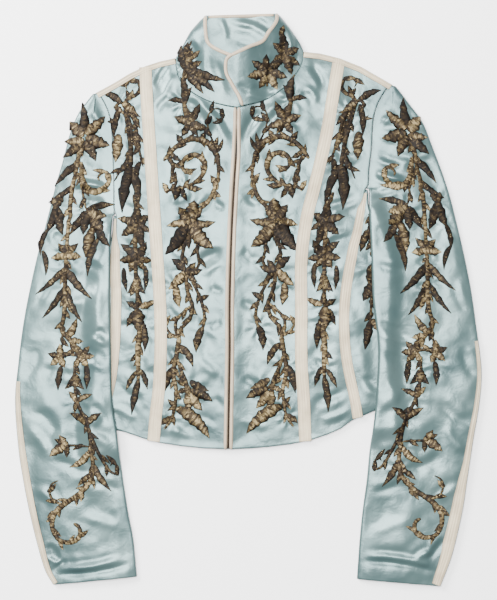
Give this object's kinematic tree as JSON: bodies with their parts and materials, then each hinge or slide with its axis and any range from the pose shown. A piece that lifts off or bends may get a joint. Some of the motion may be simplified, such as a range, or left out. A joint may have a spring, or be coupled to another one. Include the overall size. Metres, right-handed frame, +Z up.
{
  "type": "blazer",
  "caption": "Cropped long-sleeved blazer in satin with a stand collar, tape-covered panel seams and leaf embroidery, closed and laid flat.",
  "frame": {"origin": "middle of the garment's outline on the surface it lies on", "axes": "+Y from hem to collar, +X towards the wearer's left, +Z up out of the surface, fronts up"},
  "size_m": [0.5762, 0.7068, 0.03],
  "materials": {
    "satin": "soft satin sheen, lightly creased",
    "tape": "matt ribbed tape, edge-stitched",
    "binding": "folded satin binding",
    "zip": "dark woven zip tape",
    "embroidery": "raised thread with metallic glints",
    "zip_teeth": "antique metal"
  },
  "bodies": {
    "root": {"back_panel": "satin", "collar_back": "satin", "collar_binding_L": "binding", "collar_binding_R": "binding", "collar_binding_back": "binding", "collar_front_L": "satin", "collar_front_R": "satin", "front_binding_L": "binding", "front_binding_R": "binding", "front_panel_L": "satin", "front_panel_R": "satin", "lap_binding_L": "binding", "princess_tape_L": "tape", "princess_tape_R": "tape", "shoulder_tape_L": "tape", "shoulder_tape_R": "tape", "side_front_L": "satin", "side_front_R": "satin", "side_panel_L": "satin", "side_panel_R": "satin", "side_tape_L": "tape", "side_tape_R": "tape", "sleeve_tape_L": "tape", "sleeve_tape_R": "tape", "sleeve_under_L": "satin", "sleeve_under_R": "satin", "sleeve_upper_L": "satin", "sleeve_upper_R": "satin", "zip_tape": "zip"}
  },
  "joints": []
}
